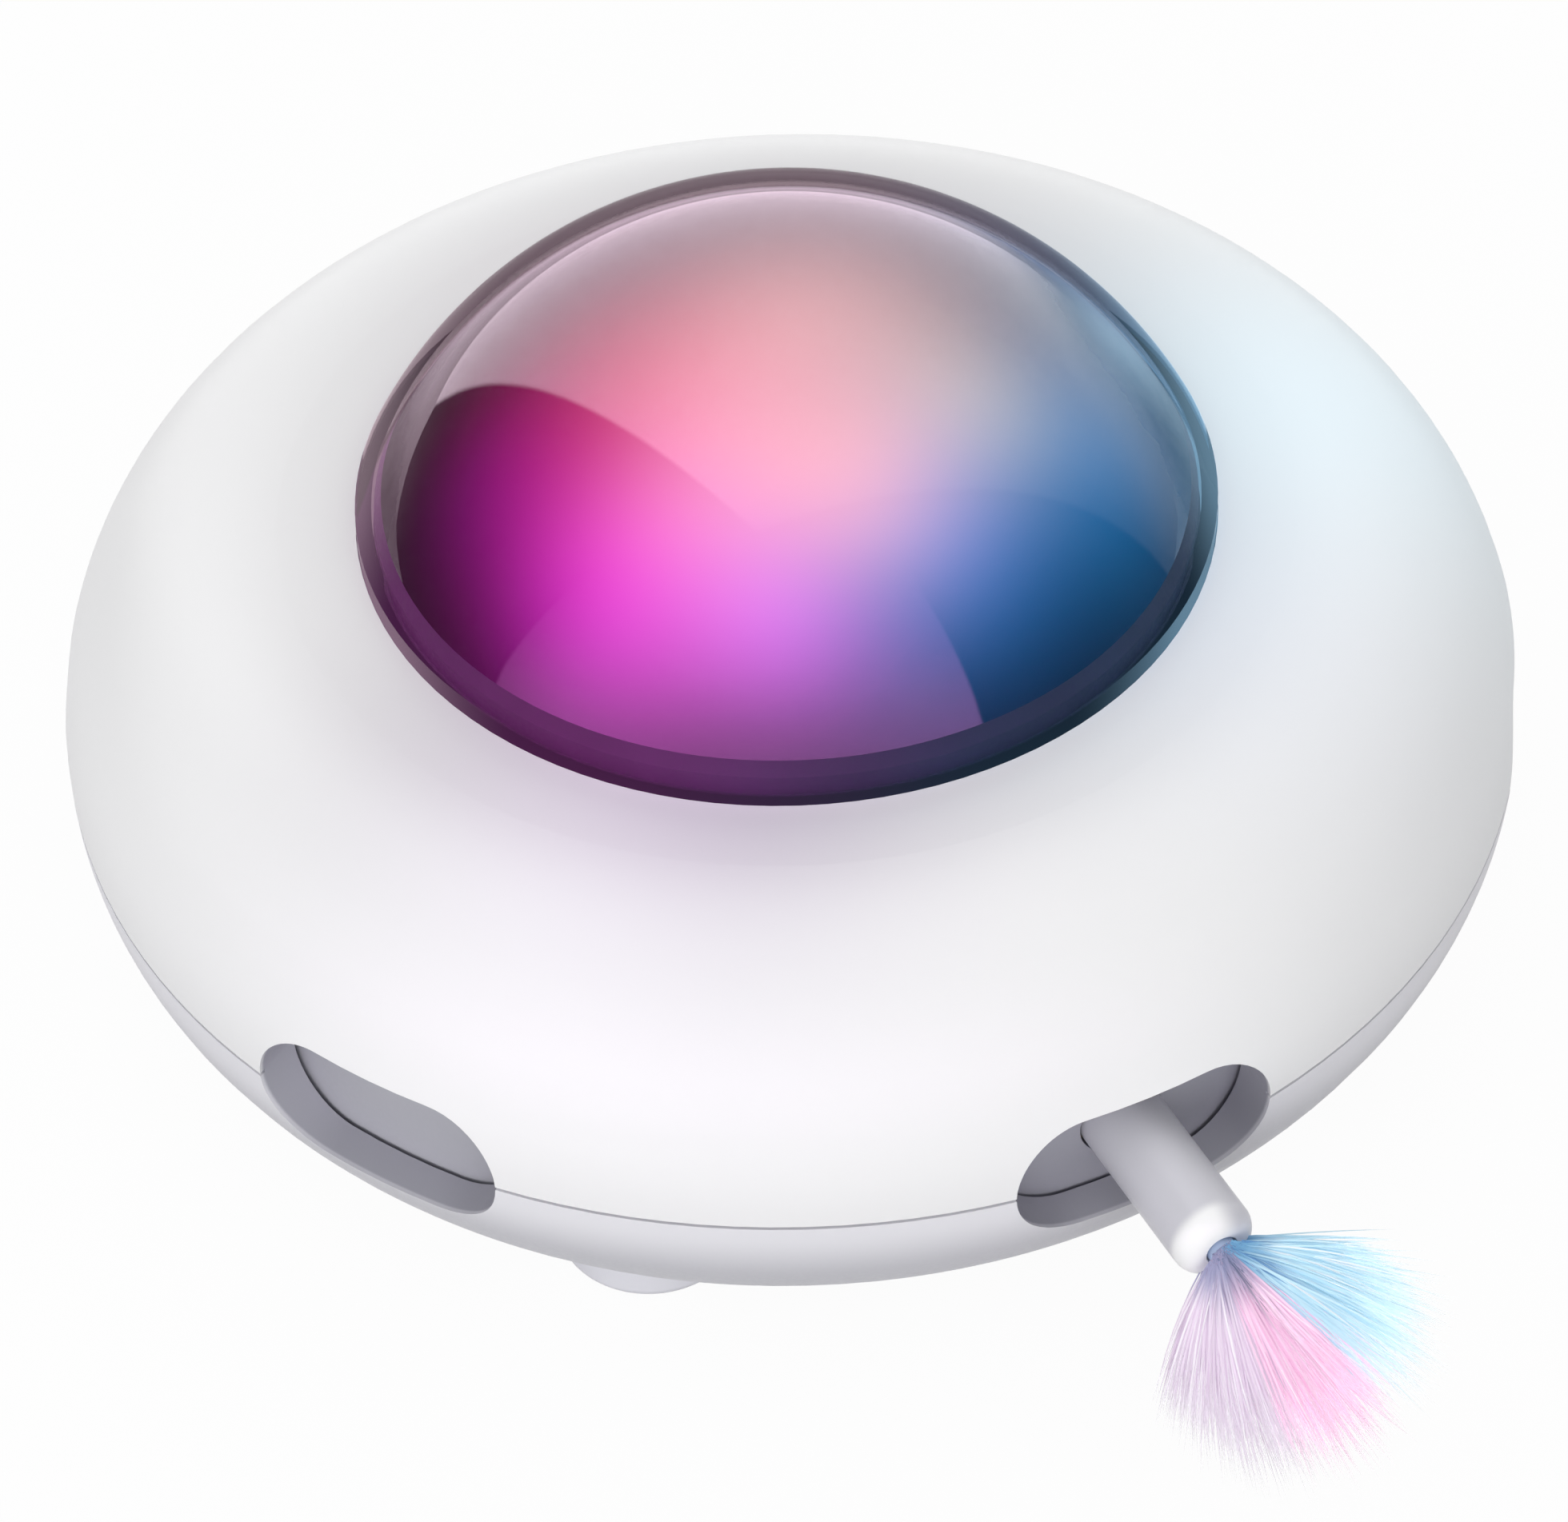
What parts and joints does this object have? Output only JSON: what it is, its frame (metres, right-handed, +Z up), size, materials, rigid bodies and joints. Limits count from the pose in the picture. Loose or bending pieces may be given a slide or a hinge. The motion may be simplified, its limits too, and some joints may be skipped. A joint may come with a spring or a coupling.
{
  "type": "automatic cat feather toy",
  "caption": "Pebble-shaped powered cat toy with openings round its rim, a lit smoked dome on top and a feather wand that slides out and sways.",
  "frame": {"origin": "on the floor plane, on the housing's axis", "axes": "+Z up out of the dome; the wand stands out towards +X and -Y, 60 degrees from +X"},
  "size_m": [0.178, 0.2018, 0.0927],
  "materials": {
    "white_shell": "satin gloss",
    "lower_shell": "satin gloss",
    "smoked_clear": "clear polished",
    "diffuser": "frosted, lit",
    "dark_ring": "satin",
    "white_inner": "moulded",
    "grey_inner": "moulded",
    "drum_grey": "satin",
    "wand_plastic": "satin",
    "ferrule_dark": "matt",
    "plume_blue": "soft feather",
    "plume_pink": "soft feather",
    "plume_lilac": "soft feather",
    "gear_white": "moulded",
    "bush_plastic": "moulded",
    "screw_steel": "plain",
    "socket_steel": "plain",
    "motor_metal": "plain",
    "board_green": "lacquered",
    "lamp": "clear",
    "battery_foil": "foil pouch",
    "foot_rubber": "translucent matt",
    "knob_black": "satin"
  },
  "bodies": {
    "housing": {"top_shell": "white_shell", "bottom_shell": "lower_shell", "dome_cover": "smoked_clear", "dome_diffuser": "diffuser", "dome_ring": "dark_ring", "light_deck": "white_inner", "lamp_board": "board_green", "lamps": "lamp", "deck_screws": "screw_steel", "chassis_plate": "grey_inner", "chassis_screws": "screw_steel", "wand_motor": "motor_metal", "turn_motor": "motor_metal", "main_board": "board_green", "board_screws": "screw_steel", "usb_socket": "socket_steel", "battery": "battery_foil", "switch_body": "grey_inner", "foot_front": "foot_rubber", "foot_right": "foot_rubber", "foot_back": "foot_rubber", "foot_left": "foot_rubber"},
    "drum": {"carousel": "drum_grey", "ring_gear": "gear_white", "wand_bush": "bush_plastic", "wand_guide": "white_inner", "guide_screws": "screw_steel"},
    "wand": {"wand_tube": "wand_plastic", "wand_carriage": "grey_inner", "wand_rack": "gear_white", "rack_screws": "screw_steel", "feather_ferrule": "ferrule_dark", "plume_blue": "plume_blue", "plume_pink": "plume_pink", "plume_lilac": "plume_lilac"},
    "turn_gear": {"turn_pinion": "gear_white"},
    "wand_gear": {"wand_pinion": "gear_white"},
    "knob": {"switch_knob": "knob_black"}
  },
  "joints": [
    {"name": "carousel_turn", "type": "hinge", "parent": "housing", "child": "drum", "pos_m": [0, 0, 0.0162], "axis": [0, 0, 1], "range_deg": [-7, 7]},
    {"name": "turn_pinion_spin", "type": "hinge", "parent": "housing", "child": "turn_gear", "pos_m": [-0.01225, 0.02122, 0.0105], "axis": [0, 0, 1], "range_deg": [-24.5, 24.5]},
    {"name": "wand_slide", "type": "slide", "parent": "drum", "child": "wand", "axis": [0.5, -0.866, 0], "range_m": [-0.022, 0], "deforming": ["plume_blue", "plume_pink", "plume_lilac"]},
    {"name": "wand_pinion_spin", "type": "hinge", "parent": "drum", "child": "wand_gear", "pos_m": [0, 0, 0.04], "axis": [0, 0, 1], "range_deg": [0, 263]},
    {"name": "switch_slide", "type": "slide", "parent": "housing", "child": "knob", "axis": [-0.7071, 0.7071, 0], "range_m": [0, 0.003]}
  ],
  "couplings": [
    {"joint": "turn_pinion_spin", "follows": "carousel_turn", "ratio": 3.45},
    {"joint": "wand_pinion_spin", "follows": "wand_slide", "rad_per_m": -208.33}
  ]
}
